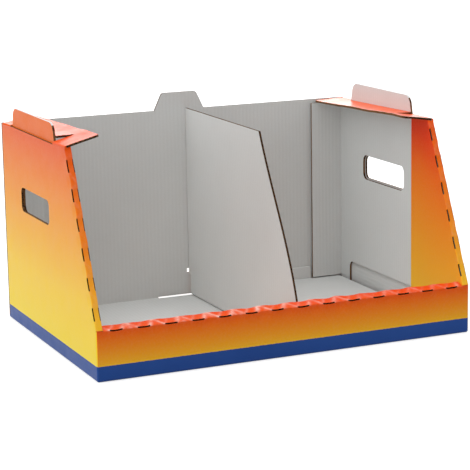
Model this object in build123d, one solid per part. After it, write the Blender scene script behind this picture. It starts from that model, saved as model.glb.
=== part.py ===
"""Counter display box of folded corrugated board, low at the front and high at the back.

Four pieces of board, each die-cut flat and folded:

tray         floor, back wall, two side walls and a low front wall, from one blank. The front corners are
             webs folded flat behind the front wall. The side walls' slanted edges and the front wall's
             top edge are rolled over two perforated creases each, and the top of each side wall turns in
             as a flange.
left_liner   an inner side panel that turns the back corner. Its stacking tab comes up through the
right_liner  flange's slit, and its foot is cut out for the tab of a box below.
divider      an upright panel hooked into the back wall, with a floor panel and a low upstand on its right.

The origin is on the ground under the centre of the footprint. X runs to the right, Y to the back and
Z up. Right-hand parts are built at +X and mirrored for the left.
"""

import math
import os

from build123d import *

# driving dimensions, mm

# Tray, outside
WIDTH = 400.0
DEPTH = 280.0
HEIGHT = 210.0  # back wall and side walls
FRONT_HEIGHT = 49.0
SET_BACK = 73.0  # the slanted edge's top end, measured back from the front

# Board and fits
BOARD = 2.2
PLAY = 0.2  # between layers that only touch
FOLD_RADIUS = 2.0  # outside of a fold
CREASE_RADIUS = 1.4  # outside of a perforated crease

# Rolled edges
SIDE_ROLL = 7.0  # outside width over wall, liner and return panel
FRONT_ROLL = 11.0
FRONT_ROLL_RISE = 3.0  # the front roll's inner crease stands this much higher
ROLL_LEG = 7.0  # straight board below the crease that belongs to the roll's section
RETURN_EDGE = 107.0  # the return panel's free edge, behind the front
LOCK_TAB_COUNT = 2
LOCK_TAB_WIDTH = 40.0
LOCK_TAB_SPAN = 190.0  # between the lock tabs' centres

# Perforation: cuts of equal length, spread evenly between the margins
CUT_LENGTH = 12.6
CUT_WIDTH = 1.5
FRONT_CUTS = 14
FRONT_CUT_MARGIN = 20.0  # from the corner to the first cut's centre
SIDE_CUTS = 6
SIDE_CUT_MARGIN = 16.5

# Corner flaps
GLUE_FLAP = 33.0
GLUE_FLAP_TAPER = 7.0
WEB_LAYERS = 2  # the front corner's web, doubled along its diagonal
FLAP_CLEARANCE = 3.0  # a flap's short ends, clear of the floor and of the roll above

# Top flanges
FLANGE = 36.0  # fold to free edge
FLANGE_CORNER_RADIUS = 3.0
LEFT_FLANGE_LIFT = (14.4, 8.8)  # degrees above level, at its front and back ends
RIGHT_FLANGE_LIFT = (9.0, -2.0)
LEFT_FOLD_RISE = 3.2  # the fold's front end stands this much above the wall's height
RIGHT_FOLD_RISE = 0.4
LEFT_SPRING = 4.2  # the flange's free slit edge stands up this much at the relief cut
RIGHT_SPRING = 2.0
FLANGE_BACK_GAP = 1.0  # behind the flange, to the back wall
RELIEF_LENGTH = 23.0  # the cut across the flange at the tab's front foot
RELIEF_WIDTH = 0.7

# Stacking tabs and what takes them up
SIDE_TAB_FRONT = 111.0  # the tab's front foot, behind the front
SIDE_TAB_BACK = 31.0  # its back foot, before the back
SIDE_TAB_TAPER = 5.0  # at each end
SIDE_TAB_HEIGHT = 19.5  # above the side wall
SIDE_TAB_RADIUS = 11.0
BACK_TAB_BASE = 58.0
BACK_TAB_TOP = 40.0
BACK_TAB_HEIGHT = 19.0
BACK_TAB_RADIUS = 4.0
TAB_SLIT_PLAY = 1.2  # at each end of a tab, in the flange's slit
SLOT_PLAY = 4.0  # at each end of a tab, in the floor below
SLOT_WIDTH = 3.0
BACK_SLOT_DEPTH = 5.4  # forwards from the back of the tray
BACK_SLOT_RISE = 3.0
CUTOUT_HEIGHT = 25.4  # the liner's cut-out, above the ground
CUTOUT_RADIUS = 7.0

# Hand holes
HAND_HOLE_LENGTH = 90.0
HAND_HOLE_HEIGHT = 25.0
HAND_HOLE_RADIUS = 6.5
HAND_HOLE_BACK = 106.5  # its centre, before the back
LINER_HOLE_MARGIN = 1.2  # the liner's hole is larger all round
HAND_HOLE_LEVEL = 139.0

# Liner
LINER_FLAP = 37.0  # over the back wall, from the liner's inner face
LINER_FLAP_GAP = 5.8  # under the flap
LINER_TOP_GAP = 4.0  # under the side wall's top
LINER_ROLL_GAP = 0.8  # between the liner's front edge and the roll's inside

# Divider
DIVIDER_PLACE = 7.2  # left face, right of the centre
DIVIDER_HEIGHT = 211.0
DIVIDER_SET_BACK = 80.0
DIVIDER_FOOT = 44.0  # lower end of its slanted edge, above the ground
HOOK_BOTTOM = 32.0
HOOK_TOP = 125.0
HOOK_SLOT_PLAY = 5.0  # below the hook; 1 mm above it
HOOK_SLOT_FOOT = 2.4  # the slot's foot reaches this far to the left of the hook
NOTCH_HEIGHT = 25.4  # clears the back tab of a box below
NOTCH_DEPTH = 4.6
BASE_FOLD_RADIUS = 3.4  # outside
BASE_EDGE = 192.0  # the floor panel's right edge, right of the centre
UPSTAND_HEIGHT = 18.6  # above the ground
UPSTAND_START = 36.0
UPSTAND_RADIUS = 3.0

# derived places

SIDE = WIDTH / 2
FRONT = -DEPTH / 2
BACK = DEPTH / 2
WALL_IN = SIDE - BOARD
BACK_IN = BACK - BOARD
FRONT_IN = FRONT + BOARD

LINER_OUT = WALL_IN - PLAY
LINER_IN = LINER_OUT - BOARD
RETURN_IN = SIDE - SIDE_ROLL
RETURN_OUT = RETURN_IN + BOARD
INNER_FRONT_IN = FRONT + FRONT_ROLL
INNER_FRONT_OUT = INNER_FRONT_IN - BOARD
INNER_FRONT_SPAN = 2 * (RETURN_IN - PLAY)

GLUE_FACE = BACK_IN - BOARD  # inner face of the glue flap
LINER_FLAP_BACK = GLUE_FACE - PLAY
LINER_FLAP_FRONT = LINER_FLAP_BACK - BOARD
WEB_FACE = FRONT_IN + PLAY + WEB_LAYERS * BOARD  # inner face of the corner's web
LAYERS_FRONT = WEB_FACE + 2 * PLAY  # liner and return panel stop here

RUN = math.hypot(SET_BACK, HEIGHT - FRONT_HEIGHT)
ALONG = Vector(0, SET_BACK, HEIGHT - FRONT_HEIGHT) / RUN  # up the slanted edge
INWARD = Vector(0, ALONG.Z, -ALONG.Y)  # square to it, into the wall
SLANT_FOOT = Vector(0, FRONT, FRONT_HEIGHT)

TAB_FRONT = FRONT + SIDE_TAB_FRONT
TAB_BACK = BACK - SIDE_TAB_BACK
SLIT_FRONT = TAB_FRONT - TAB_SLIT_PLAY
SLIT_BACK = TAB_BACK + TAB_SLIT_PLAY
CUTOUT_FRONT = TAB_FRONT - SLOT_PLAY
CUTOUT_BACK = TAB_BACK + SLOT_PLAY

FLANGE_FRONT = FRONT + SET_BACK
FLANGE_REAR = BACK_IN - FLANGE_BACK_GAP

BASE_TOP = BOARD + PLAY + BOARD
HUGE = 4 * max(WIDTH, DEPTH, HEIGHT)


# helpers

def block(x, y, z):
    """A box from three (low, high) pairs."""
    size = [high - low for low, high in (x, y, z)]
    middle = [(high + low) / 2 for low, high in (x, y, z)]
    return Pos(*middle) * Box(*size)


def panel(plane, points, thickness, rounded=()):
    """A flat panel over an outline in the plane; rounded is a list of (corner number, radius)."""
    outline = make_face(Polyline(*points, close=True))
    for number, radius in rounded:
        corner = min(outline.vertices(), key=lambda v: abs(plane_distance(v, points[number])))
        outline = fillet(corner, radius)
    return extrude(plane * outline, thickness)


def plane_distance(vertex, point):
    return math.hypot(vertex.X - point[0], vertex.Y - point[1])


def on_slant(distance, depth):
    """Point in (Y, Z) at a distance up the slanted edge and a depth square to it."""
    spot = SLANT_FOOT + ALONG * distance + INWARD * depth
    return spot.Y, spot.Z


def slant_at_height(level, depth):
    """Where a line parallel to the slanted edge, at that depth, reaches a level."""
    return on_slant((level - FRONT_HEIGHT - INWARD.Z * depth) / ALONG.Z, depth)


def slant_at_place(place, depth):
    """Where a line parallel to the slanted edge, at that depth, reaches a Y place."""
    return on_slant((place - FRONT - INWARD.Y * depth) / ALONG.Y, depth)


def roll_section(width, leg, rise):
    """Section of a rolled edge: board over two creases, legs down. Outer crease at the origin."""
    outside = make_face(Polyline((0, 0), (width, rise), (width, -leg), (0, -leg), close=True))
    creases = outside.vertices().sort_by(Axis.Y)[-2:]
    outside = fillet(creases, CREASE_RADIUS)
    hollow = make_face(Polyline(
        (BOARD, -BOARD), (width - BOARD, rise - BOARD), (width - BOARD, -leg - 1), (BOARD, -leg - 1),
        close=True,
    ))
    return outside - hollow


def evenly(count, low, high):
    return [low + (high - low) * i / (count - 1) for i in range(count)]


def hand_hole(x, margin=0.0):
    """Cutter through one or more layers; x is a (low, high) pair."""
    size = (HAND_HOLE_LENGTH + 2 * margin, HAND_HOLE_HEIGHT + 2 * margin)
    hole = RectangleRounded(*size, HAND_HOLE_RADIUS + margin)
    place = Plane.YZ.offset(x[0]) * Pos(BACK - HAND_HOLE_BACK, HAND_HOLE_LEVEL)
    return extrude(place * hole, x[1] - x[0])


# tray, right half and whole width

def side_wall():
    """Right side wall, cut back along the slanted edge, where the roll's section takes over."""
    inset = ROLL_LEG / 2
    outline = [
        (FRONT_IN, 0),
        (BACK_IN, 0),
        (BACK_IN, HEIGHT),
        slant_at_height(HEIGHT, inset),
        slant_at_place(FRONT_IN, inset),
    ]
    return panel(Plane.YZ.offset(WALL_IN), outline, BOARD)


def return_panel():
    """Printed panel inside the liner, behind the slanted roll."""
    inset = ROLL_LEG / 2
    top = HEIGHT + ROLL_LEG  # trimmed under the flange
    outline = [
        (LAYERS_FRONT, BOARD + PLAY),
        (FRONT + RETURN_EDGE, BOARD + PLAY),
        (FRONT + RETURN_EDGE, top),
        slant_at_height(top, inset),
        slant_at_place(LAYERS_FRONT, inset),
    ]
    return panel(Plane.YZ.offset(RETURN_IN), outline, BOARD)


def side_roll():
    """Board rolled over the slanted edge, from the front wall's top to the flange."""
    start = -2 * ROLL_LEG
    section_plane = Plane(
        origin=(SIDE, *on_slant(start, 0)),
        x_dir=(-1, 0, 0),
        z_dir=ALONG,
    )
    roll = extrude(section_plane * roll_section(SIDE_ROLL, ROLL_LEG, 0), RUN - 2 * start)
    in_wall = (WALL_IN, SIDE + 1)
    in_layers = (RETURN_IN - 1, WALL_IN)
    over = FRONT_HEIGHT + PLAY
    top = HEIGHT + ROLL_LEG  # trimmed under the flange
    keep = block(in_wall, (FRONT_IN, BACK), (0, top))
    keep += block(in_layers, (LAYERS_FRONT, BACK), (BOARD, top))
    keep += block((RETURN_IN - 1, SIDE + 1), (FRONT, BACK), (over, top))
    return roll & keep


def flange_state(form, place):
    """Lift in radians, height of the fold and spring of the slit edge, at a Y place."""
    lift, rise, spring = form
    share = (FLANGE_REAR - place) / (FLANGE_REAR - FLANGE_FRONT)
    tilt = math.radians(lift[1] + (lift[0] - lift[1]) * share)
    sprung = spring * (SLIT_BACK - place) / (SLIT_BACK - SLIT_FRONT)
    return tilt, HEIGHT + rise * share, sprung


def across_place(place, outline):
    """Face over an outline in (X, Z), at a Y place."""
    return Plane(origin=(0, place, 0), x_dir=(1, 0, 0), z_dir=(0, -1, 0)) * outline


def flange_section(form, place):
    """Section of the top fold: the wall's last stretch and the flange at its lift."""
    tilt, fold_level, _ = flange_state(form, place)
    inner = (SIDE - FLANGE * math.cos(tilt), fold_level + FLANGE * math.sin(tilt))
    under = (inner[0] - BOARD * math.sin(tilt), inner[1] - BOARD * math.cos(tilt))
    knee = fold_level - BOARD / math.cos(tilt) + BOARD * math.tan(tilt)
    leg = HEIGHT - ROLL_LEG
    section = make_face(Polyline(
        (SIDE, leg), (SIDE, fold_level), inner, under, (WALL_IN, knee), (WALL_IN, leg), close=True,
    ))
    fold = min(section.vertices(), key=lambda v: plane_distance(v, (SIDE, fold_level)))
    return across_place(place, fillet(fold, FOLD_RADIUS))


def sprung_section(form, place):
    """Section of the flange beside the slit, its slit edge sprung up off the wall."""
    tilt, fold_level, sprung = flange_state(form, place)
    edge = LINER_IN - PLAY
    bend = SIDE - RELIEF_LENGTH

    def level(x):
        extra = sprung * max(x - bend, 0) / (edge - bend)
        return fold_level + (SIDE - x) * math.tan(tilt) + extra

    drop = BOARD / math.cos(tilt)
    free = SIDE - FLANGE * math.cos(tilt)
    under = free - BOARD * math.sin(tilt)
    return across_place(place, make_face(Polyline(
        (edge, level(edge)), (bend, level(bend)), (free, level(free)),
        (under, level(under) - drop), (bend, level(bend) - drop), (edge, level(edge) - drop),
        close=True,
    )))


def flange(form):
    """Top of the right side wall, folded in, with the tab's slit and the relief cut at its front foot."""
    ends = ((FLANGE_FRONT, SLIT_FRONT), (SLIT_BACK, FLANGE_REAR))
    front, rear = (loft([flange_section(form, y) for y in pair], ruled=True) for pair in ends)
    middle = loft([sprung_section(form, y) for y in (SLIT_FRONT, SLIT_BACK)], ruled=True)
    relief = block(
        (SIDE - RELIEF_LENGTH, SIDE), (SLIT_FRONT - PLAY, SLIT_FRONT + RELIEF_WIDTH),
        (HEIGHT - ROLL_LEG, HEIGHT + FLANGE),
    )
    middle -= relief
    return rounded_end(front, FLANGE_FRONT) + middle + rounded_end(rear, FLANGE_REAR)


def rounded_end(board, place):
    """The flange's free corner at that Y place, rounded."""
    corners = []
    for edge in board.edges():
        middle = edge.center()
        if abs(middle.Y - place) < 1e-3 and edge.length < BOARD * 1.01 and middle.X < WALL_IN - BOARD:
            corners.append(edge)
    return fillet(corners, FLANGE_CORNER_RADIUS)


def over_layers(form):
    """Space above the layers inside the wall, from just under the flange."""
    tops = []
    for place in (FLANGE_FRONT - 1, FLANGE_REAR):
        tilt, fold_level, _ = flange_state(form, place)
        knee = fold_level - (BOARD + PLAY) / math.cos(tilt) + BOARD * math.tan(tilt)
        rise = FLANGE * math.tan(tilt)
        outline = make_face(Polyline(
            (WALL_IN, knee), (WALL_IN, HUGE), (WALL_IN - FLANGE, HUGE), (WALL_IN - FLANGE, knee + rise),
            close=True,
        ))
        tops.append(across_place(place, outline))
    return loft(tops, ruled=True)


def flange_room():
    """What the side wall gives up where the flange's fold takes over."""
    level = (HEIGHT - ROLL_LEG, HEIGHT + ROLL_LEG)
    wall = (WALL_IN - PLAY, SIDE + 1)
    front = block(wall, (FLANGE_FRONT, SLIT_FRONT), level)
    back = block(wall, (SLIT_BACK, FLANGE_REAR), level)
    return front + back


def glue_flap():
    """Side wall's rear flap, glued inside the back wall."""
    free = WALL_IN - GLUE_FLAP
    low = BOARD + FLAP_CLEARANCE
    high = HEIGHT - FLAP_CLEARANCE
    outline = [
        (WALL_IN, low),
        (free, low + GLUE_FLAP_TAPER),
        (free, high - GLUE_FLAP_TAPER),
        (WALL_IN, high),
    ]
    return panel(Plane.XZ.offset(-BACK_IN), outline, BOARD)


def corner_web():
    """Front corner's web, folded along its diagonal into a triangle between the front wall's two layers."""
    low = BOARD + FLAP_CLEARANCE
    high = FRONT_HEIGHT - BOARD - FLAP_CLEARANCE
    outline = [(WALL_IN, low), (WALL_IN - (high - low), high), (WALL_IN, high)]
    return panel(Plane.XZ.offset(-WEB_FACE), outline, WEB_LAYERS * BOARD)


def side_cuts():
    """Cuts along the inner crease of the right slanted roll, and shallow flats along its outer one."""
    cuts = []
    for distance in evenly(SIDE_CUTS, SIDE_CUT_MARGIN, RUN - SIDE_CUT_MARGIN):
        for crease in (SIDE, RETURN_IN):
            y, z = on_slant(distance, 0)
            place = Plane(origin=(crease, y, z), x_dir=(1, 0, 0), z_dir=ALONG)
            cuts.append(place * crease_cut())
    return cuts


def crease_cut():
    """One cut, across a crease at 45 degrees, its length along Z."""
    reach = 2 * BOARD
    return Rot(0, 0, 45) * Box(reach * 2, CUT_WIDTH, CUT_LENGTH)


def front_cuts():
    """Cuts along both creases of the front roll."""
    cuts = []
    for x in evenly(FRONT_CUTS, -SIDE + FRONT_CUT_MARGIN, SIDE - FRONT_CUT_MARGIN):
        for y, z, turn in (
            (FRONT, FRONT_HEIGHT, 45),
            (INNER_FRONT_IN, FRONT_HEIGHT + FRONT_ROLL_RISE, -45),
        ):
            cuts.append(Pos(x, y, z) * Rot(-turn, 0, 0) * Box(CUT_LENGTH, 4 * BOARD, CUT_WIDTH))
    return cuts


def front_roll():
    """Front wall's rolled top with the inner front panel and its lock tabs."""
    across = Plane(origin=(-INNER_FRONT_SPAN / 2, FRONT, FRONT_HEIGHT), x_dir=(0, 1, 0), z_dir=(1, 0, 0))
    roll = extrude(across * roll_section(FRONT_ROLL, ROLL_LEG, FRONT_ROLL_RISE), INNER_FRONT_SPAN)
    inner_y = (INNER_FRONT_OUT, INNER_FRONT_IN)
    half = INNER_FRONT_SPAN / 2
    inner = block((-half, half), inner_y, (BOARD + PLAY, FRONT_HEIGHT - ROLL_LEG / 2))
    for x in lock_tab_places():
        inner += block((x - LOCK_TAB_WIDTH / 2, x + LOCK_TAB_WIDTH / 2), inner_y, (PLAY, BOARD + ROLL_LEG))
    return roll + inner


def lock_tab_places():
    return evenly(LOCK_TAB_COUNT, -LOCK_TAB_SPAN / 2, LOCK_TAB_SPAN / 2)


def floor():
    """Floor with its bottom folds and every slot in it."""
    slab = block((-SIDE, SIDE), (FRONT, BACK), (0, BOARD))
    for x in lock_tab_places():
        half = LOCK_TAB_WIDTH / 2 + 2 * PLAY
        slab -= block((x - half, x + half), (INNER_FRONT_OUT - PLAY, INNER_FRONT_IN + PLAY), (-1, BOARD + 1))
    for side in (1, -1):
        edges = sorted((side * (WALL_IN - SLOT_WIDTH), side * WALL_IN))
        slab -= block(edges, (CUTOUT_FRONT, CUTOUT_BACK), (-1, BOARD + 1))
    return slab


def back_wall():
    """Back wall with the central stacking tab and the divider's slot."""
    top = HEIGHT + BACK_TAB_HEIGHT
    outline = [
        (-SIDE, 0),
        (SIDE, 0),
        (SIDE, HEIGHT),
        (BACK_TAB_BASE / 2, HEIGHT),
        (BACK_TAB_TOP / 2, top),
        (-BACK_TAB_TOP / 2, top),
        (-BACK_TAB_BASE / 2, HEIGHT),
        (-SIDE, HEIGHT),
    ]
    wall = panel(Plane.XZ.offset(-BACK), outline, BOARD, [(4, BACK_TAB_RADIUS), (5, BACK_TAB_RADIUS)])
    foot = HOOK_BOTTOM - HOOK_SLOT_PLAY
    through = (BACK_IN - 1, BACK + 1)
    right = DIVIDER_PLACE + BOARD + PLAY
    wall -= block((DIVIDER_PLACE - PLAY, right), through, (foot, HOOK_TOP + 1))
    return wall - block((DIVIDER_PLACE - HOOK_SLOT_FOOT, right), through, (foot, HOOK_BOTTOM - PLAY))


def folded_side(form):
    """Everything that folds from the right side wall, with its flange's lift, fold rise and spring."""
    body = side_wall() + return_panel() + side_roll() + glue_flap() + corner_web()
    body -= hand_hole((RETURN_IN - 1, SIDE + 1))
    for cut in side_cuts():
        body -= cut
    return body - over_layers(form) - flange_room() + flange(form)


def tray():
    """The whole blank, folded up."""
    front = block((-SIDE, SIDE), (FRONT, FRONT_IN), (0, FRONT_HEIGHT - ROLL_LEG / 2))
    for side in (1, -1):
        ends = sorted((side * INNER_FRONT_SPAN / 2, side * SIDE))
        front += block(ends, (FRONT, FRONT_IN), (0, FRONT_HEIGHT))
    body = floor() + front + back_wall()
    body += folded_side((RIGHT_FLANGE_LIFT, RIGHT_FOLD_RISE, RIGHT_SPRING))
    body += mirror(folded_side((LEFT_FLANGE_LIFT, LEFT_FOLD_RISE, LEFT_SPRING)), Plane.YZ)
    body = fillet(bottom_folds(body) + front_folds(body), FOLD_RADIUS)
    body += front_roll()
    for cut in front_cuts():
        body -= cut
    # The back tab's slot lies across the bottom fold.
    half_slot = BACK_TAB_BASE / 2 + 1
    body -= block((-half_slot, half_slot), (BACK - BACK_SLOT_DEPTH, BACK + 1), (-1, BACK_SLOT_RISE))
    for seam in corner_seams():
        body -= seam
    return body


def bottom_folds(body):
    """The four outer edges on the ground."""
    found = []
    for edge in body.edges():
        box = edge.bounding_box()
        on_ground = box.max.Z < 1e-4
        at_side = min(abs(abs(box.min.X) - SIDE), abs(abs(box.max.X) - SIDE)) < 1e-4 and box.size.X < 1e-4
        at_end = min(abs(abs(box.min.Y) - BACK), abs(abs(box.max.Y) - BACK)) < 1e-4 and box.size.Y < 1e-4
        if on_ground and (at_side or at_end):
            found.append(edge)
    return found


def front_folds(body):
    """The two upright folds between the side walls and the front wall."""
    found = []
    for edge in body.edges().filter_by(Axis.Z):
        middle = edge.center()
        if abs(abs(middle.X) - SIDE) < 1e-3 and abs(middle.Y - FRONT) < 1e-3 and middle.Z < FRONT_HEIGHT:
            found.append(edge)
    return found


def corner_seams():
    """Seams where the raw ends of the back wall cover the side walls' folds."""
    seams = []
    for side in (1, -1):
        deep = sorted((side * (SIDE - BOARD * 0.8), side * (SIDE + 1)))
        seams.append(block(deep, (BACK_IN - PLAY, BACK_IN), (2 * FOLD_RADIUS, HEIGHT + 1)))
    return seams


# liner

def liner():
    """Right liner: side panel with stacking tab, hand hole and foot cut-out, and its flap on the back wall."""
    foot = BOARD + PLAY
    top = HEIGHT - LINER_TOP_GAP
    tab_top = HEIGHT + SIDE_TAB_HEIGHT
    inset = BOARD + LINER_ROLL_GAP
    outline = [
        (LAYERS_FRONT, foot),
        (LINER_FLAP_BACK, foot),
        (LINER_FLAP_BACK, top),
        (TAB_BACK, top),
        (TAB_BACK - SIDE_TAB_TAPER, tab_top),
        (TAB_FRONT + SIDE_TAB_TAPER, tab_top),
        (TAB_FRONT, top),
        slant_at_height(top, inset),
        slant_at_place(LAYERS_FRONT, inset),
    ]
    side = panel(Plane.YZ.offset(LINER_IN), outline, BOARD, [(4, SIDE_TAB_RADIUS), (5, SIDE_TAB_RADIUS)])
    flap_free = LINER_IN - LINER_FLAP
    flap = block((flap_free, LINER_OUT), (LINER_FLAP_FRONT, LINER_FLAP_BACK), (LINER_FLAP_GAP, top))
    body = side + flap
    corner = [
        edge for edge in body.edges().filter_by(Axis.Z)
        if abs(edge.center().X - LINER_OUT) < 1e-3 and abs(edge.center().Y - LINER_FLAP_BACK) < 1e-3
    ]
    body = fillet(corner, FOLD_RADIUS)
    cutout = panel(
        Plane.YZ.offset(LINER_IN - 1),
        [
            (CUTOUT_FRONT, -1),
            (CUTOUT_BACK, -1),
            (CUTOUT_BACK, CUTOUT_HEIGHT),
            (CUTOUT_FRONT, CUTOUT_HEIGHT),
        ],
        BOARD + 2,
        [(2, CUTOUT_RADIUS), (3, CUTOUT_RADIUS)],
    )
    return body - cutout - hand_hole((LINER_IN - 1, LINER_OUT + 1), LINER_HOLE_MARGIN)


# divider

def divider():
    """Upright panel and floor panel from one blank, folded at the foot, with a hook and an upstand."""
    under = BOARD + PLAY
    right = DIVIDER_PLACE + BOARD
    section = make_face(Polyline(
        (DIVIDER_PLACE, HUGE),
        (DIVIDER_PLACE, under),
        (BASE_EDGE, under),
        (BASE_EDGE, BASE_TOP),
        (right, BASE_TOP),
        (right, HUGE),
        close=True,
    ))
    outer = min(section.vertices(), key=lambda v: math.hypot(v.X - DIVIDER_PLACE, v.Y - under))
    section = fillet(outer, BASE_FOLD_RADIUS)
    inner = min(section.vertices(), key=lambda v: math.hypot(v.X - right, v.Y - BASE_TOP))
    section = fillet(inner, BASE_FOLD_RADIUS - BOARD)
    across = Plane(origin=(0, FRONT, 0), x_dir=(1, 0, 0), z_dir=(0, -1, 0))
    board = extrude(across * section, -DEPTH)
    rear = BACK_IN - PLAY
    clear = INNER_FRONT_IN + PLAY
    profile = [
        (clear, 0),
        (rear - NOTCH_DEPTH, 0),
        (rear - NOTCH_DEPTH, NOTCH_HEIGHT),
        (rear, NOTCH_HEIGHT),
        (rear, HOOK_BOTTOM),
        (BACK - PLAY / 2, HOOK_BOTTOM),
        (BACK - PLAY / 2, HOOK_TOP),
        (rear, HOOK_TOP),
        (rear, DIVIDER_HEIGHT),
        (FRONT + DIVIDER_SET_BACK, DIVIDER_HEIGHT),
        (clear, DIVIDER_FOOT),
    ]
    upright = board & panel(Plane.YZ.offset(DIVIDER_PLACE - 1), profile, BOARD + 1 + BASE_FOLD_RADIUS)
    # Floor panel: its rear edge is notched beside the upright, then turns up as the upstand.
    bend = DIVIDER_PLACE + BOARD + BASE_FOLD_RADIUS
    plan = [
        (bend - 1, clear),
        (BASE_EDGE, clear),
        (BASE_EDGE, LINER_FLAP_FRONT - PLAY),
        (UPSTAND_START, LINER_FLAP_FRONT - PLAY),
        (UPSTAND_START, rear - NOTCH_DEPTH),
        (bend - 1, rear - NOTCH_DEPTH),
    ]
    base = board & panel(Plane.XY, plan, BASE_TOP + 1)
    return upright + base + upstand()


def upstand():
    """Low rear edge of the floor panel, turned up against the back wall beside the liner's flap."""
    rear = BACK_IN - PLAY
    under = BOARD + PLAY
    free = LINER_IN - LINER_FLAP - 5 * PLAY
    section = make_face(Polyline(
        (LINER_FLAP_FRONT - BOARD, under),
        (rear, under),
        (rear, UPSTAND_HEIGHT),
        (rear - BOARD, UPSTAND_HEIGHT),
        (rear - BOARD, BASE_TOP),
        (LINER_FLAP_FRONT - BOARD, BASE_TOP),
        close=True,
    ))
    outer = min(section.vertices(), key=lambda v: math.hypot(v.X - rear, v.Y - under))
    section = fillet(outer, FOLD_RADIUS)
    board = extrude(Plane.YZ.offset(UPSTAND_START) * section, free - UPSTAND_START)
    corners = [
        edge for edge in board.edges().filter_by(Axis.Y)
        if abs(edge.center().Z - UPSTAND_HEIGHT) < 1e-3
    ]
    board = fillet(corners, UPSTAND_RADIUS)
    top = board.edges().filter_by(Axis.X).group_by(Axis.Z)[-1]
    return fillet(top, BOARD * 0.4)


def main():
    os.makedirs("parts", exist_ok=True)
    right = liner()
    pieces = {
        "tray": tray(),
        "left_liner": mirror(right, Plane.YZ),
        "right_liner": right,
        "divider": divider(),
    }
    for name, piece in pieces.items():
        export_step(piece, f"parts/{name}.step")


main()
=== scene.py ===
"""Looks of a folded corrugated display box: printed tray, two grey liners and a divider."""

import math

import bmesh
import bpy
from mathutils import Matrix, Vector
from mathutils.bvhtree import BVHTree
from mathutils.noise import noise


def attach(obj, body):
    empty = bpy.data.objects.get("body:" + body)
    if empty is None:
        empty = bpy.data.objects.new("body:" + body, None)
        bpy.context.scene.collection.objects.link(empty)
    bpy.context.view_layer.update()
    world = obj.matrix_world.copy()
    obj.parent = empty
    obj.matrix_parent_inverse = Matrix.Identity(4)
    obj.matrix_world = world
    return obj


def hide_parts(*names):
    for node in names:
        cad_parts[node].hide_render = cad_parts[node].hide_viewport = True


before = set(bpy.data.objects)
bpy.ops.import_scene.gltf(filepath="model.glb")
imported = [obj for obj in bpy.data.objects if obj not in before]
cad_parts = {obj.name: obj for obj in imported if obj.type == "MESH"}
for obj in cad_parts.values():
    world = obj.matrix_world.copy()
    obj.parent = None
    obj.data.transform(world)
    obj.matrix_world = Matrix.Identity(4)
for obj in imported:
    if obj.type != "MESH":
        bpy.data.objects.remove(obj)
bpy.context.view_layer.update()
scene = bpy.context.scene

# camera, placed from the box's own straight edges in the photo

camera = bpy.data.objects.new("camera", bpy.data.cameras.new("camera"))
scene.collection.objects.link(camera)
scene.camera = camera
camera.data.sensor_width = 36.0
camera.data.lens = 138.4
camera.data.clip_start = 0.05
camera.data.clip_end = 20.0
camera.matrix_world = Matrix((
    (0.9144, 0.0980, -0.3927, -0.7308),
    (-0.4044, 0.1798, -0.8968, -1.6769),
    (-0.0173, 0.9788, 0.2040, 0.4765),
    (0.0, 0.0, 0.0, 1.0),
))

# sizes in metres, as in the solids

W, D, H = 0.400, 0.280, 0.210
HF = 0.049  # front wall
SB = 0.073  # slanted edge's top end, behind the front
T = 0.0022  # board
SIDE_ROLL = 0.007
FRONT_ROLL = 0.011
FRONT_RISE = 0.003
PITCH = 0.00435  # fluting
BAND = 0.0152  # blue band at the foot
SX, FRONT, BACK = W / 2, -D / 2, D / 2
RUN = math.hypot(SB, H - HF)
ALONG = Vector((0.0, SB / RUN, (H - HF) / RUN))
OUTWARD = Vector((0.0, -ALONG.z, ALONG.y))
DIVIDER_X = 0.0072
ROLL_END = 0.1929  # the front roll reaches this far to each side
FRONT_CUTS, FRONT_MARGIN = 14, 0.020  # along the front roll; from the corner to the first cut's centre
SIDE_CUTS, SIDE_MARGIN = 6, 0.0165  # along a slanted roll
FRONT_PITCH = (W - 2 * FRONT_MARGIN) / (FRONT_CUTS - 1)
SIDE_PITCH = (RUN - 2 * SIDE_MARGIN) / (SIDE_CUTS - 1)
FRONT_FIRST = -SX + FRONT_MARGIN
CUT_LENGTH = 0.0126
CUT_DEPTH = 0.0013  # of the slanted rolls' outer cuts
RIM = 0.0003  # facing seen at an open flute end
HOLLOW_DEPTH = 0.0010
WAVE_SIZES = {"Pitch": PITCH, "Swing": 0.00060, "Paper": 0.00030, "Depth": 0.00092}
# The divider's bow over its height, a polynomial in metres, highest power first.
BOW = (10.0945, -1.08762, -0.978949, 0.142518, 0.000357)


def srgb(r, g, b):
    """Linear colour from 8-bit display values."""
    out = []
    for c in (r, g, b):
        c /= 255.0
        out.append(c / 12.92 if c <= 0.04045 else ((c + 0.055) / 1.055) ** 2.4)
    return (*out, 1.0)


# materials

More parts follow.
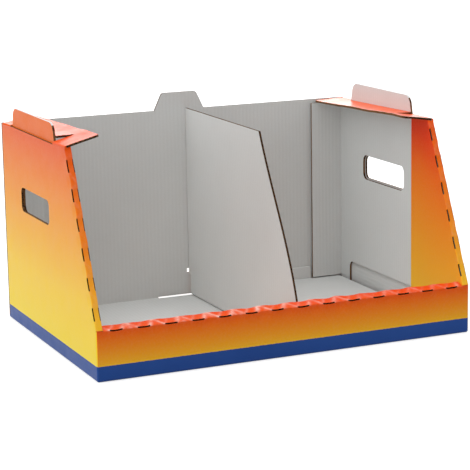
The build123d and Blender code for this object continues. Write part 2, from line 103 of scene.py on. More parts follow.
class Nodes:
    """Short way to write a material's node tree."""

    def __init__(self, name):
        self.mat = bpy.data.materials.new(name)
        self.mat.use_nodes = True
        self.tree = self.mat.node_tree
        self.tree.nodes.clear()
        self.out = self.new("ShaderNodeOutputMaterial")
        self.bsdf = self.new("ShaderNodeBsdfPrincipled")
        self.link(self.bsdf.outputs[0], self.out.inputs[0])

    def new(self, kind, **settings):
        node = self.tree.nodes.new(kind)
        for key, value in settings.items():
            setattr(node, key, value)
        return node

    def link(self, a, b):
        self.tree.links.new(a, b)

    def put(self, socket, value):
        if isinstance(value, bpy.types.NodeSocket):
            self.link(value, socket)
        else:
            socket.default_value = value

    def math(self, operation, a, b=0.0, c=0.0, clamp=False):
        node = self.new("ShaderNodeMath", operation=operation, use_clamp=clamp)
        self.put(node.inputs[0], a)
        self.put(node.inputs[1], b)
        self.put(node.inputs[2], c)
        return node.outputs[0]

    def span(self, value, low, high, to_low=0.0, to_high=1.0):
        node = self.new("ShaderNodeMapRange")
        self.put(node.inputs["Value"], value)
        self.put(node.inputs["From Min"], low)
        self.put(node.inputs["From Max"], high)
        self.put(node.inputs["To Min"], to_low)
        self.put(node.inputs["To Max"], to_high)
        return node.outputs[0]

    def mix(self, factor, a, b):
        node = self.new("ShaderNodeMix", data_type="RGBA")
        self.put(node.inputs[0], factor)
        self.put(node.inputs[6], a)
        self.put(node.inputs[7], b)
        return node.outputs[2]

    def ramp(self, value, stops):
        node = self.new("ShaderNodeValToRGB")
        band = node.color_ramp
        while len(band.elements) < len(stops):
            band.elements.new(0.5)
        for element, (place, colour) in zip(band.elements, stops):
            element.position = place
            element.color = colour
        self.put(node.inputs[0], value)
        return node.outputs[0]

    def attribute(self, name):
        return self.new("ShaderNodeAttribute", attribute_name=name)

    def place(self):
        return self.new("ShaderNodeTexCoord").outputs["Object"]

    def noise(self, vector, scale, detail=3.0, roughness=0.55):
        node = self.new("ShaderNodeTexNoise")
        node.inputs["Scale"].default_value = scale
        node.inputs["Detail"].default_value = detail
        node.inputs["Roughness"].default_value = roughness
        self.link(vector, node.inputs["Vector"])
        return node.outputs[0]

    def flutes(self):
        """Height of the board's washboard, from the flute attribute: distance across the flutes, metres."""
        across = self.attribute("across").outputs["Fac"]
        wobble = self.noise(self.place(), 14.0, 2.0)
        phase = self.math("MULTIPLY_ADD", across, math.tau / PITCH, self.math("MULTIPLY", wobble, 1.6))
        return self.math("MULTIPLY_ADD", self.math("SINE", phase), 0.5, 0.5)

    def bump(self, height, strength, distance, normal=None):
        node = self.new("ShaderNodeBump")
        node.inputs["Strength"].default_value = strength
        node.inputs["Distance"].default_value = distance
        self.put(node.inputs["Height"], height)
        if normal:
            self.link(normal, node.inputs["Normal"])
        return node.outputs[0]


def printed():
    """Satin print fading from orange-red to yellow, with a blue band at the foot, cracked along the rolls."""
    n = Nodes("printed_board")
    tone = n.attribute("tone").outputs["Fac"]
    height = n.attribute("height").outputs["Fac"]
    crease = n.attribute("crease").outputs["Fac"]
    spot = n.place()
    cloud = n.noise(spot, 9.0, 4.0)
    fine = n.noise(spot, 420.0, 3.0, 0.7)
    ink = n.ramp(n.span(n.math("ADD", tone, n.span(cloud, 0.3, 0.7, -0.02, 0.02)), 0.0, 1.1), [
        (0.00, srgb(255, 226, 48)),
        (0.25, srgb(255, 210, 44)),
        (0.36, srgb(254, 194, 40)),
        (0.55, srgb(252, 166, 34)),
        (0.73, srgb(250, 136, 26)),
        (0.87, srgb(246, 104, 16)),
        (0.94, srgb(242, 80, 8)),
        (1.00, srgb(240, 60, 5)),
    ])
    ink = n.mix(n.span(fine, 0.4, 0.75, 0.0, 0.04), ink, srgb(255, 236, 214))
    edge = n.math("ADD", height, n.span(fine, 0.3, 0.7, -0.0002, 0.0002))
    blue = n.mix(n.span(cloud, 0.3, 0.7), srgb(38, 76, 150), srgb(44, 84, 160))
    colour = n.mix(n.span(edge, BAND + 0.0002, BAND - 0.0002), ink, blue)
    # Ink cracked open along creases shows the pale board.
    veins = n.noise(spot, 200.0, 4.0, 0.6)
    cracked = n.math("MULTIPLY", crease, n.span(veins, 0.38, 0.58, 0.35, 1.0), clamp=True)
    colour = n.mix(cracked, colour, srgb(255, 220, 206))
    n.put(n.bsdf.inputs["Base Color"], colour)
    n.put(n.bsdf.inputs["Roughness"], n.span(n.noise(spot, 60.0), 0.3, 0.7, 0.30, 0.40))
    # A negative crease marks board that still has its full varnish.
    # The socket's own number serves the export, which drops the link.
    n.bsdf.inputs["Specular IOR Level"].default_value = 0.09
    n.put(n.bsdf.inputs["Specular IOR Level"], n.span(crease, 0.0, -1.0, 0.09, 0.85))
    wash = n.bump(n.flutes(), 0.05, 0.0004)
    grain = n.bump(n.noise(spot, 900.0, 2.0), 0.06, 0.0002, wash)
    n.put(n.bsdf.inputs["Normal"], grain)
    return n.mat


def plain():
    """Light grey uncoated facing with the fluting showing through, as bumps and as painted shade in the
    washboard's hollows.
    """
    n = Nodes("plain_board")
    spot = n.place()
    ridge = n.flutes()
    cloud = n.noise(spot, 7.0, 4.0)
    fibre = n.noise(spot, 600.0, 4.0, 0.7)
    fleck = n.noise(spot, 240.0, 3.0, 0.8)
    colour = n.mix(n.span(cloud, 0.3, 0.7), srgb(220, 222, 221), srgb(228, 230, 229))
    # Painted shade: the facing is a little darker where the washboard dips.
    colour = n.mix(n.span(ridge, 0.0, 1.0, 0.07, 0.0), colour, srgb(184, 182, 176))
    colour = n.mix(n.span(fibre, 0.3, 0.75, 0.0, 0.14), colour, srgb(200, 198, 192))
    colour = n.mix(n.span(fleck, 0.72, 0.80, 0.0, 0.4), colour, srgb(166, 158, 146))
    n.put(n.bsdf.inputs["Base Color"], colour)
    n.put(n.bsdf.inputs["Roughness"], n.span(fibre, 0.3, 0.7, 0.72, 0.9))
    n.bsdf.inputs["Specular IOR Level"].default_value = 0.25
    wash = n.bump(ridge, 0.14, 0.0005)
    grain = n.bump(fibre, 0.14, 0.0002, wash)
    n.put(n.bsdf.inputs["Normal"], grain)
    return n.mat


def cut_fibre(n):
    return n.mix(n.span(n.noise(n.place(), 900.0, 4.0, 0.7), 0.3, 0.7), srgb(92, 62, 38), srgb(132, 96, 62))


def cut():
    """Cut edge: brown medium waving between two thin facings, with the open flutes painted near-black as the
    shade inside them.
    """
    n = Nodes("cut_board")
    across = n.attribute("across").outputs["Fac"]
    depth = n.attribute("depth").outputs["Fac"]  # 0 to 1 through the board's thickness
    wave = n.math("MULTIPLY_ADD", n.math("SINE", n.math("MULTIPLY", across, math.tau / PITCH)), 0.33, 0.5)
    near = n.math("ABSOLUTE", n.math("SUBTRACT", depth, wave))
    medium = n.span(near, 0.15, 0.07)
    facing = n.span(n.math("ABSOLUTE", n.math("SUBTRACT", depth, 0.5)), 0.35, 0.39)
    solid = n.math("MAXIMUM", medium, facing)
    # Painted shade: where neither medium nor facing is, the open flute is painted near-black for the shade
    # inside it.
    n.put(n.bsdf.inputs["Base Color"], n.mix(solid, srgb(22, 12, 7), cut_fibre(n)))
    n.bsdf.inputs["Roughness"].default_value = 0.9
    n.bsdf.inputs["Specular IOR Level"].default_value = 0.15
    n.put(n.bsdf.inputs["Normal"], n.bump(solid, 0.6, 0.0008))
    return n.mat


def medium():
    """Brown fluted paper between the facings."""
    n = Nodes("fluted_medium")
    n.put(n.bsdf.inputs["Base Color"], cut_fibre(n))
    n.bsdf.inputs["Roughness"].default_value = 0.95
    n.bsdf.inputs["Specular IOR Level"].default_value = 0.1
    return n.mat


PRINTED, PLAIN, CUT, MEDIUM = printed(), plain(), cut(), medium()


# board from the solids

# Marks of a face while a piece is made: facing, cut edge, wave of the medium, hollow around the waves.
FACING, EDGE, WAVE, HOLLOW = 0, 2, 3, 4


def is_cut(face, tree, on_skin):
    """Whether a face is a cut edge.

    Behind a facing the board's other side is close, and behind a cut edge the board goes on.
    """
    centre = face.calc_center_median()
    if is_perforation(centre, face.normal):
        return True
    if on_skin(centre, face.normal):
        return False
    spots = [centre] + [centre.lerp(v.co, 0.4) for v in face.verts]
    reaches = [tree.ray_cast(spot - face.normal * 1e-5, -face.normal, 0.05)[3] for spot in spots]
    return min(reach if reach is not None else 1.0 for reach in reaches) > 0.0034


def is_perforation(centre, normal):
    """Walls of the cuts along the creases stand square to the crease's bisector."""
    spans = (
        (Vector((0, FRONT, HF)), Vector((0, -0.7071, 0.7071)), Vector((1, 0, 0))),
        (Vector((0, FRONT + FRONT_ROLL, HF + FRONT_RISE)), Vector((0, 0.7071, 0.7071)), Vector((1, 0, 0))),
    )
    for origin, bisector, along in spans:
        off = centre - origin
        off -= along * off.dot(along)
        if off.length < 0.0035 and abs(normal.dot(along)) < 0.1 and abs(normal.dot(bisector)) < 0.1:
            return True
    if centre.z > HF + 0.004 and abs(centre.x) > SX - SIDE_ROLL - 0.003 and behind_slant(centre) < 0.0035:
        side = math.copysign(1.0, centre.x)
        for x, lean in ((SX, 1.0), (SX - SIDE_ROLL, -1.0)):
            bisector = (Vector((side * lean, 0, 0)) + OUTWARD).normalized()
            square = abs(normal.dot(ALONG)) < 0.1 and abs(normal.dot(bisector)) < 0.1
            if square and abs(abs(centre.x) - x) < 0.003:
                return True
    return False


def tray_skin(c, n):
    """The tray's outward faces and folds, which are facing whatever lies behind them."""
    out = n.x * math.copysign(1.0, c.x)
    deep = behind_slant(c)
    if abs(c.x) > SX - T and out > 0.02:
        return c.y < BACK - T - 0.0001
    if c.y < FRONT + T and n.y < -0.02 or c.y > BACK - T and n.y > 0.02:
        return True
    if c.z > HF + 0.0003 and abs(c.x) > SX - SIDE_ROLL - 0.0001:
        if deep < 0.0015 and n.dot(OUTWARD) > 0.05 or abs(c.x) < SX - SIDE_ROLL + 0.0016 and out < -0.02:
            return True
    if abs(c.x) < ROLL_END and c.y < FRONT + FRONT_ROLL + 0.0002:
        return c.z > HF - 0.0016 and n.z > 0.05 or c.y > FRONT + FRONT_ROLL - 0.0016 and n.y > 0.02
    return False


def board_mesh(name, on_skin=lambda c, n: False):
    """The CAD node's mesh with flat many-sided faces, each marked as a facing or a cut edge."""
    bm = bmesh.new()
    bm.from_mesh(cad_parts[name].data)
    bmesh.ops.remove_doubles(bm, verts=bm.verts, dist=2e-6)
    bmesh.ops.recalc_face_normals(bm, faces=bm.faces)
    tree = BVHTree.FromBMesh(bm)
    for face in bm.faces:
        face.material_index = EDGE if is_cut(face, tree, on_skin) else FACING
    bmesh.ops.dissolve_limit(
        bm, angle_limit=math.radians(0.2), verts=bm.verts, edges=bm.edges, delimit={"MATERIAL"},
    )
    return bm


def flute_tree():
    """Node tree that lays one wave of the medium at each pitch along straight lines in the cut edges."""
    tree = bpy.data.node_groups.new("flute_ends", "GeometryNodeTree")
    tree.interface.new_socket("Lines", in_out="INPUT", socket_type="NodeSocketGeometry")
    for name in ("Pitch", "Swing", "Paper", "Depth"):
        tree.interface.new_socket(name, in_out="INPUT", socket_type="NodeSocketFloat")
    tree.interface.new_socket("Flutes", in_out="OUTPUT", socket_type="NodeSocketGeometry")

    def add(kind, inputs=(), **settings):
        node = tree.nodes.new(kind)
        for key, value in settings.items():
            setattr(node, key, value)
        for key, value in dict(inputs).items():
            if isinstance(value, bpy.types.NodeSocket):
                tree.links.new(value, node.inputs[key])
            else:
                node.inputs[key].default_value = value
        return node

    given = add("NodeGroupInput").outputs
    cell = add("GeometryNodeMeshGrid", {
        "Size X": given["Pitch"], "Size Y": given["Paper"], "Vertices X": 11, "Vertices Y": 2,
    })
    place = add("ShaderNodeSeparateXYZ", {0: add("GeometryNodeInputPosition").outputs[0]})
    turn = add("ShaderNodeMath", {0: math.tau, 1: given["Pitch"]}, operation="DIVIDE")
    phase = add("ShaderNodeMath", {0: place.outputs[0], 1: turn.outputs[0]}, operation="MULTIPLY")
    sine = add("ShaderNodeMath", {0: phase.outputs[0]}, operation="SINE")
    swing = add("ShaderNodeMath", {0: sine.outputs[0], 1: given["Swing"]}, operation="MULTIPLY")
    down = add("ShaderNodeMath", {0: given["Depth"], 1: -1.0}, operation="MULTIPLY")
    offset = add("ShaderNodeCombineXYZ", {1: swing.outputs[0], 2: down.outputs[0]})
    waved = add("GeometryNodeSetPosition", {"Geometry": cell.outputs["Mesh"], "Offset": offset.outputs[0]})
    deep = add("GeometryNodeExtrudeMesh", {
        "Mesh": waved.outputs[0], "Offset Scale": given["Depth"], "Individual": False,
    }, mode="FACES")
    curve = add("GeometryNodeMeshToCurve", {0: given["Lines"]})
    spaced = add("GeometryNodeResampleCurve", {
        "Curve": curve.outputs[0], "Length": given["Pitch"],
    }, mode="LENGTH")
    outward = add("GeometryNodeInputNamedAttribute", {"Name": "outward"}, data_type="FLOAT_VECTOR")
    rotation = add("FunctionNodeAxesToRotation", {
        "Primary Axis": outward.outputs[0], "Secondary Axis": add("GeometryNodeInputTangent").outputs[0],
    }, primary_axis="Z", secondary_axis="X")
    laid = add("GeometryNodeInstanceOnPoints", {
        "Points": spaced.outputs[0], "Instance": deep.outputs["Mesh"], "Rotation": rotation.outputs[0],
    })
    real = add("GeometryNodeRealizeInstances", {0: laid.outputs[0]})
    done = add("GeometryNodeSetMaterial", {"Geometry": real.outputs[0], "Material": MEDIUM})
    add("NodeGroupOutput", {0: done.outputs[0]})
    return tree


FLUTE_TREE = flute_tree()


def inset(bm, faces, thickness, depth=0.0):
    """New faces around each of the faces, which shrink by the thickness and move by the depth."""
    got = bmesh.ops.inset_individual(
        bm, faces=faces, thickness=thickness, depth=depth, use_even_offset=True,
    )
    return got["faces"]


def open_ends(bm, flute_of):
    """Sinks the straight cut edges that cross the flutes, and lays the medium's waves in them."""
    ends, spots, outward = [], [], []
    for face in bm.faces:
        if face.material_index != EDGE or is_perforation(face.calc_center_median(), face.normal):
            continue
        if abs(face.normal.dot(flute_of(face))) < 0.3:
            continue
        way, low = narrow_way(face)
        along = face.normal.cross(way).normalized()
        reach = [v.co.dot(along) for v in face.verts]
        width = max(v.co.dot(way) for v in face.verts) - low
        length = max(reach) - min(reach)
        count = int((length - 0.0012) / PITCH)
        area = face.calc_area()
        if abs(width - T) > 0.00015 or count < 2 or abs(area - length * width) > 0.06 * area:
            continue
        face.material_index = HOLLOW
        ends.append(face)
        centre = face.verts[0].co.copy()
        centre += way * (low + width / 2 - centre.dot(way))
        centre += along * ((max(reach) + min(reach)) / 2 - centre.dot(along))
        half = along * ((count - 1) * PITCH / 2 + 1e-7)
        spots += [centre - half, centre + half]
        outward += [face.normal.copy()] * 2
    if not ends:
        return
    # Rim first, then the hollow; the rims stay cut edge, and the hollow later takes the near-black painted
    # shade.
    rim = inset(bm, ends, RIM)
    walls = inset(bm, ends, 0.00002, -HOLLOW_DEPTH)
    for face in rim:
        face.material_index = EDGE
    for face in walls:
        face.material_index = HOLLOW
    lines = bpy.data.meshes.new("flute_lines")
    lines.from_pydata(spots, [(i, i + 1) for i in range(0, len(spots), 2)], [])
    lines.attributes.new("outward", "FLOAT_VECTOR", "POINT").data.foreach_set(
        "vector", [value for vector in outward for value in vector],
    )
    carrier = bpy.data.objects.new("flute_lines", lines)
    scene.collection.objects.link(carrier)
    modifier = carrier.modifiers.new("flute_ends", "NODES")
    modifier.node_group = FLUTE_TREE
    for item in FLUTE_TREE.interface.items_tree:
        if item.name in WAVE_SIZES:
            modifier[item.identifier] = WAVE_SIZES[item.name]
    waves = bpy.data.meshes.new_from_object(carrier.evaluated_get(bpy.context.evaluated_depsgraph_get()))
    carrier.modifiers.clear()
    bpy.data.objects.remove(carrier)
    waves.polygons.foreach_set("material_index", [WAVE] * len(waves.polygons))
    bm.from_mesh(waves)


def slice_up(bm, inside, start, step, count):
    """Cuts the faces of a region with evenly spaced parallel planes, so that they can bend."""
    faces = [f for f in bm.faces if inside(f)]
    geom = list({v for f in faces for v in f.verts}) + list({e for f in faces for e in f.edges}) + faces
    normal = step.normalized()
    for i in range(count):
        cut = bmesh.ops.bisect_plane(bm, geom=geom, dist=1e-6, plane_co=start + step * i, plane_no=normal)
        geom = cut["geom"]


def paint(bm, kind_of, tone_of, across_of, flute_of, crease_of=None):
    """Material per face, and the materials' attributes per corner. Large flat faces are shaded flat."""
    names = ("tone", "height", "crease", "across", "depth")
    tone, height, crease, across, depth = (bm.loops.layers.float.new(name) for name in names)
    bm.normal_update()
    for face in bm.faces:
        is_edge = face.material_index == EDGE
        open_flutes = is_edge and abs(face.normal.dot(flute_of(face))) > 0.3
        narrow = narrow_way(face) if open_flutes else None
        face.smooth = face.calc_area() < 0.004 * face.calc_perimeter()
        hollow = face.material_index == HOLLOW
        if hollow:
            face.material_index = EDGE
        elif face.material_index == FACING:
            face.material_index = kind_of(face)
        for loop in face.loops:
            co = loop.vert.co
            loop[tone] = tone_of(face, co)
            loop[height] = co.z
            loop[crease] = crease_of(face, loop.vert) if crease_of else 0.0
            loop[across] = across_of(face, co) if narrow or not is_edge else 0.0
            loop[depth] = (co.dot(narrow[0]) - narrow[1]) / T if narrow else 0.5
            if hollow:
                # Painted shade: a hollow is painted near-black all over, for the shade deep in the open
                # flutes.
                loop[across] = 0.25 * PITCH  # the hollow is away from the wave: dark all over


def narrow_way(face):
    """Direction through the board at a cut edge, and where it starts."""
    best = None
    for way in (Vector((1, 0, 0)), Vector((0, 1, 0)), Vector((0, 0, 1))):
        if abs(face.normal.dot(way)) > 0.7:
            continue
        reach = [v.co.dot(way) for v in face.verts]
        size = max(reach) - min(reach)
        if best is None or size < best[0]:
            best = (size, way, min(reach))
    return best[1:]


def finish_piece(bm, name, cad):
    """Object from the bmesh, with its materials, in place of the CAD node."""
    mesh = bpy.data.meshes.new(name)
    bm.to_mesh(mesh)
    bm.free()
    for material in (PRINTED, PLAIN, CUT, MEDIUM):
        mesh.materials.append(material)
    flat = [not polygon.use_smooth for polygon in mesh.polygons]
    mesh.set_sharp_from_angle(angle=math.radians(35))
    for polygon, is_flat in zip(mesh.polygons, flat):
        polygon.use_smooth = not is_flat
    piece = bpy.data.objects.new(name, mesh)
    scene.collection.objects.link(piece)
    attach(piece, "root")
    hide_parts(cad)
    return piece


# where the print is

def behind_slant(co):
    """Distance from the slanted edge's line into the wall."""
    return -(co - Vector((0.0, FRONT, HF))).dot(OUTWARD)


def in_front_wall(co):
    return co.y < FRONT + FRONT_ROLL + 0.0025 and co.z < HF + 0.006 and abs(co.x) < SX - 0.0001


def in_flange(co):
    return abs(co.x) > 0.155 and co.z > H - 0.003 and co.y > FRONT + SB - 0.001


def tray_kind(face):
    """0 printed, 1 plain."""
    c, n = face.calc_center_median(), face.normal
    if n.z < -0.9 and c.z < 0.001:
        return 1
    if abs(c.x) > SX - 0.0022 and n.x * c.x > 0.2 * abs(c.x):
        return 0
    if c.y < FRONT + 0.0014 and n.y < -0.2 or c.y > BACK - 0.0014 and n.y > 0.2:
        return 0
    if in_flange(c) and n.z > 0.5:
        return 0
    on_slant = n.dot(OUTWARD) > 0.3 and behind_slant(c) < 0.002
    if on_slant and abs(c.x) > SX - SIDE_ROLL - 0.0014 and c.z > HF - 0.001:
        return 0
    if abs(abs(c.x) - (SX - SIDE_ROLL)) < 0.0006 and n.x * c.x < 0:
        return 0
    on_roll = n.z > 0.2 and c.z > HF - 0.002 or n.y > 0.5 and c.y > FRONT + FRONT_ROLL - 0.0008
    if in_front_wall(c) and on_roll:
        return 0
    return 1


def tray_tone(face, co):
    """Place in the print's fade: 0 at the foot of the walls, 1 at their top."""
    n = face.normal
    on_slant = n.dot(OUTWARD) > 0.5 and behind_slant(co) < 0.002
    if on_slant and co.z > HF + 0.0005 and abs(co.x) > SX - SIDE_ROLL - 0.0005:
        return min(0.10 + 5.8 * co.z, 0.52 + 2.33 * co.z)
    if in_front_wall(co) and abs(n.x) < 0.7 and (n.y < -0.7 or co.y > FRONT + 0.0003 or co.z > HF - 0.0015):
        return 0.40 + 0.62 * max((co.z - 0.015) / (HF - 0.015), 0.0) ** 0.75
    if abs(co.x) < SX - SIDE_ROLL + 0.0004 and abs(n.x) > 0.7:
        return min(0.26 + 4.9 * co.z, 0.415 + 3.5 * co.z)
    return (co.z - 0.015) / 0.195


UPRIGHT, ENDWAYS, SIDEWAYS = Vector((0, 0, 1)), Vector((0, 1, 0)), Vector((1, 0, 0))


def tray_flute(face):
    """Direction of the flutes, which run front to back in the blank."""
    c = face.calc_center_median()
    in_end_wall = c.y < FRONT + FRONT_ROLL or c.y > BACK - T
    return UPRIGHT if in_end_wall and c.z > 0.003 and abs(c.x) < SX - SIDE_ROLL or c.y > BACK - T else ENDWAYS


def tray_across(face, co):
    """Distance across the flutes."""
    c = face.calc_center_median()
    in_side = abs(c.x) > SX - T - 0.0001 and FRONT + T < c.y < BACK - T and c.z > 0.003
    return co.z if in_side or abs(face.normal.x) > 0.7 and face.material_index != EDGE else co.x


# wear


def smooth(value, low, high):
    share = min(max((value - low) / (high - low), 0.0), 1.0)
    return share * share * (3.0 - 2.0 * share)


def rough(co, scale, seed):
    """Fractal noise, about -1 to 1."""
    spot = co * scale + Vector((seed, 0.7 * seed, -1.3 * seed))
    return noise(spot) + 0.5 * noise(spot * 2.1) + 0.3 * noise(spot * 4.3)


def chance(number, seed):
    """Number from 0 to 1 that belongs to a bridge."""
    return 0.5 + 0.5 * noise(Vector((number * 3.71 + 0.35, seed * 1.37 + 0.21, 0.77)))


def near_segment(s, v, start, end):
    """Distance in metres to a crease across the roll, given in (along, across) places."""
    a, b, q = Vector(start), Vector(end), Vector((s, v))
    share = min(max((q - a).dot(b - a) / (b - a).length_squared, 0.0), 1.0)
    return (q - a.lerp(b, share)).length


def bridge_wear(s, number, v, width):
    """Height of a bridge between two cuts, pressed up where the roll was folded, and the creases across it.

    s is the distance from the bridge's middle, v the distance across the roll from its outer crease.
    """
    strength = 0.3 + 1.3 * chance(number, 3) ** 1.5
    hump = (1.0 - smooth(abs(s), 0.0, 0.0145)) * 2.0 - 0.8
    shift = 0.003 * (chance(number, 5) - 0.5)
    foot = 0.0016 * (chance(number, 8) - 0.5)
    lines = (
        (0.0019, 1.0, (-0.0078 + foot, 0.0), (-0.0030 + shift, width)),
        (0.0015, chance(number, 11) + 0.3, (-0.0030 + shift, width), (0.0072 - foot, 0.0)),
        (0.0011, chance(number, 14), (0.0072 - foot, 0.0), (0.0125 + shift, 0.8 * width)),
    )
    ridge = sum(
        gain * math.exp(-((near_segment(s, v, start, end) / wide) ** 2))
        for wide, gain, start, end in lines
    )
    patch = 1.0 - smooth(abs(s + 0.002), 0.002, 0.010)
    return hump * strength, min(ridge, 1.3) * strength, patch * strength


def front_wear(co):
    """Move of a point of the front roll, and how cracked its ink is."""
    hold = smooth(co.z, HF - 0.012, HF - 0.002) * smooth(abs(co.x), 0.1928, 0.1868)
    if hold == 0.0 or co.y > FRONT + FRONT_ROLL + 0.001:
        return None
    number = math.floor((co.x - FRONT_FIRST) / FRONT_PITCH)
    s = co.x - FRONT_FIRST - (number + 0.5) * FRONT_PITCH
    v = min(max(co.y - FRONT, 0.0), FRONT_ROLL)
    hump, ridge, patch = bridge_wear(s, number, v, FRONT_ROLL)
    outer = 1.0 - v / FRONT_ROLL
    up = 0.00050 * hump * (0.3 + 0.7 * (1 - outer)) + 0.00030 * ridge + 0.00028 * rough(co, 110.0, 1.0)
    inward = 0.00075 * max(hump, 0.0) * outer + 0.00035 * rough(co, 70.0, 5.0) * (1.0 - outer)
    fade = 0.35 + 0.65 * smooth(co.x, 0.08, -0.10)
    veined = 0.95 * ridge + 0.8 * patch * max(rough(co, 130.0, 9.0), 0.0)
    cracked = fade * veined * smooth(co.z, HF - 0.0012, HF - 0.0002)
    return Vector((0.0, inward * hold, up * hold)), cracked * hold


def side_wear(co):
    """The same for the slanted rolls."""
    deep = behind_slant(co)
    along = (co - Vector((0.0, FRONT, HF))).dot(ALONG)
    hold = smooth(deep, 0.010, 0.002) * smooth(along, 0.003, 0.009) * smooth(co.z, H - 0.001, H - 0.008)
    if hold == 0.0 or abs(co.x) < SX - SIDE_ROLL - 0.001 or deep < -0.004:
        return None
    side = math.copysign(1.0, co.x)
    number = math.floor((along - SIDE_MARGIN) / SIDE_PITCH)
    s = along - SIDE_MARGIN - (number + 0.5) * SIDE_PITCH
    v = SX - abs(co.x)
    hump, ridge, _ = bridge_wear(s, number + 20 * side, v, SIDE_ROLL)
    outer = 1.0 - v / SIDE_ROLL
    up = 0.00030 * hump + 0.00020 * ridge + 0.00022 * rough(co, 110.0, 2.0 * side)
    inward = 0.00060 * max(hump, 0.0) * outer + 0.00030 * rough(co, 80.0, 4.0) * (1.0 - outer)
    cracked = 0.10 * ridge * smooth(deep, 0.0022, 0.0006)
    return (OUTWARD * up + Vector((-side * inward, 0.0, 0.0))) * hold, cracked * hold


def flange_wear(co):
    """Slow waves in the flanges, stronger at their front, and the right one's varnish."""
    free = smooth(abs(co.x), SX - 0.004, SX - 0.030)
    front = smooth(co.y, BACK, FRONT + SB)
    varnished = smooth(co.x, -0.1, 0.1) * free
    return Vector((0.0, 0.0, free * (0.0002 + 0.0004 * front) * rough(co, 34.0, 12.0))), -varnished


def tray_wear(co):
    """Move and crease of a point of the tray, or None where it stays as the solid has it."""
    if in_flange(co):
        return flange_wear(co)
    return (side_wear(co) if co.z > HF + 0.0001 and abs(co.x) > SX - SIDE_ROLL - 0.001 else None) or (
        front_wear(co) if abs(co.x) < ROLL_END else None
    )


# pieces

def tray_piece():
    bm = board_mesh("tray", tray_skin)
    open_ends(bm, tray_flute)

    def on_front_roll(face):
        c = face.calc_center_median()
        return c.y < FRONT + FRONT_ROLL + 0.0005 and HF - 0.022 < c.z < HF + 0.006 and abs(c.x) < ROLL_END

    def on_front_top(face):
        return on_front_roll(face) and face.normal.z > 0.3

    def on_side_roll(face):
        c = face.calc_center_median()
        return behind_slant(c) < 0.012 and abs(c.x) > SX - SIDE_ROLL - 0.0005 and HF + 0.0002 < c.z < H

    def on_side_top(face):
        return on_side_roll(face) and face.normal.dot(OUTWARD) > 0.3

    def on_flange(face):
        c = face.calc_center_median()
        return in_flange(c) and abs(c.x) < SX - 0.003

    slant_foot = Vector((0, FRONT, HF))
    slice_up(bm, near_front_rim, Vector((0, 0, BAND)), Vector((0, 0, 0.0024)), 13)
    slice_up(bm, on_front_roll, Vector((-0.1920, 0, 0)), Vector((0.0013, 0, 0)), 296)
    slice_up(bm, on_front_top, Vector((0, FRONT + 0.0020, 0)), Vector((0, 0.0014, 0)), 6)
    slice_up(bm, near_slant, slant_foot - OUTWARD * 0.010, OUTWARD * 0.002, 5)
    slice_up(bm, on_side_roll, slant_foot, ALONG * 0.0016, 112)
    slice_up(bm, on_side_top, Vector((-0.1980, 0, 0)), Vector((0.0015, 0, 0)), 3)
    slice_up(bm, on_side_top, Vector((0.1950, 0, 0)), Vector((0.0015, 0, 0)), 3)
    slice_up(bm, on_flange, Vector((0, FRONT + SB, 0)), Vector((0, 0.005, 0)), 41)
    slice_up(bm, on_flange, Vector((-0.195, 0, 0)), Vector((0.005, 0, 0)), 7)
    slice_up(bm, on_flange, Vector((0.165, 0, 0)), Vector((0.005, 0, 0)), 7)
    sink_outer_cuts(bm)
    moved = {}
    for vert in bm.verts:
        got = tray_wear(vert.co)
        if got:
            moved[vert] = got

    def crease(face, vert):
        """A flange's crease counts on its top alone."""
        shown = face.normal.z > 0.8 or not in_flange(vert.co)
        return moved[vert][1] if vert in moved and shown else 0.0

    paint(bm, tray_kind, tray_tone, tray_across, tray_flute, crease)
    for vert, (move, _) in moved.items():
        vert.co += move
        vert.co.y = max(vert.co.y, FRONT)
    return finish_piece(bm, "tray_board", "tray")


def in_outer_cut(face):
    """On a slanted roll's outer crease, inside one of the perforation's cuts."""
    c = face.calc_center_median()
    deep, out = behind_slant(c), SX - abs(c.x)
    off_crease = out > 0.0018 or deep > 0.0018 or abs(out - deep) > 0.0009
    if off_crease or c.z < HF + 0.004 or face.material_index != FACING:
        return False
    along = (c - Vector((0.0, FRONT, HF))).dot(ALONG)
    number = round((along - SIDE_MARGIN) / SIDE_PITCH)
    return 0 <= number < SIDE_CUTS and abs(along - SIDE_MARGIN - number * SIDE_PITCH) < CUT_LENGTH / 2


def sink_outer_cuts(bm):
    """Opens the cuts on the slanted rolls' outer creases, which the solids only nick, and paints their walls
    with the near-black painted shade of a hollow.
    """
    for side in (-1.0, 1.0):
        faces = [f for f in bm.faces if in_outer_cut(f) and f.calc_center_median().x * side > 0]
        inward = -(Vector((side, 0.0, 0.0)) + OUTWARD).normalized()
        new = bmesh.ops.extrude_face_region(bm, geom=faces)["geom"]
        bmesh.ops.delete(bm, geom=[f for f in faces if f.is_valid], context="FACES_KEEP_BOUNDARY")
        for vert in [g for g in new if isinstance(g, bmesh.types.BMVert)]:
            vert.co += inward * CUT_DEPTH
            # Painted shade: the cut's walls go near-black, as a hollow.
            for face in vert.link_faces:
                face.material_index = HOLLOW


def near_front_rim(face):
    """The front wall's and inner panel's upright faces that reach the roll."""
    c, n = face.calc_center_median(), face.normal
    in_roll = c.y < FRONT + FRONT_ROLL + 0.0005 and abs(c.x) < ROLL_END
    return in_roll and abs(n.y) > 0.9 and face_top(face) > HF - 0.004


def near_slant(face):
    """The side walls' and return panels' upright faces that reach the slanted roll."""
    reach = min(behind_slant(v.co) for v in face.verts)
    return abs(face.normal.x) > 0.9 and abs(face.calc_center_median().x) > 0.19 and reach < 0.003


def face_top(face):
    return max(v.co.z for v in face.verts)


def liner_kind(face):
    c = face.calc_center_median()
    return 0 if face.normal.x * c.x > 0 else 1


def liner_across(face, co):
    return co.x if abs(face.normal.y) > 0.7 and face.material_index != EDGE else co.y


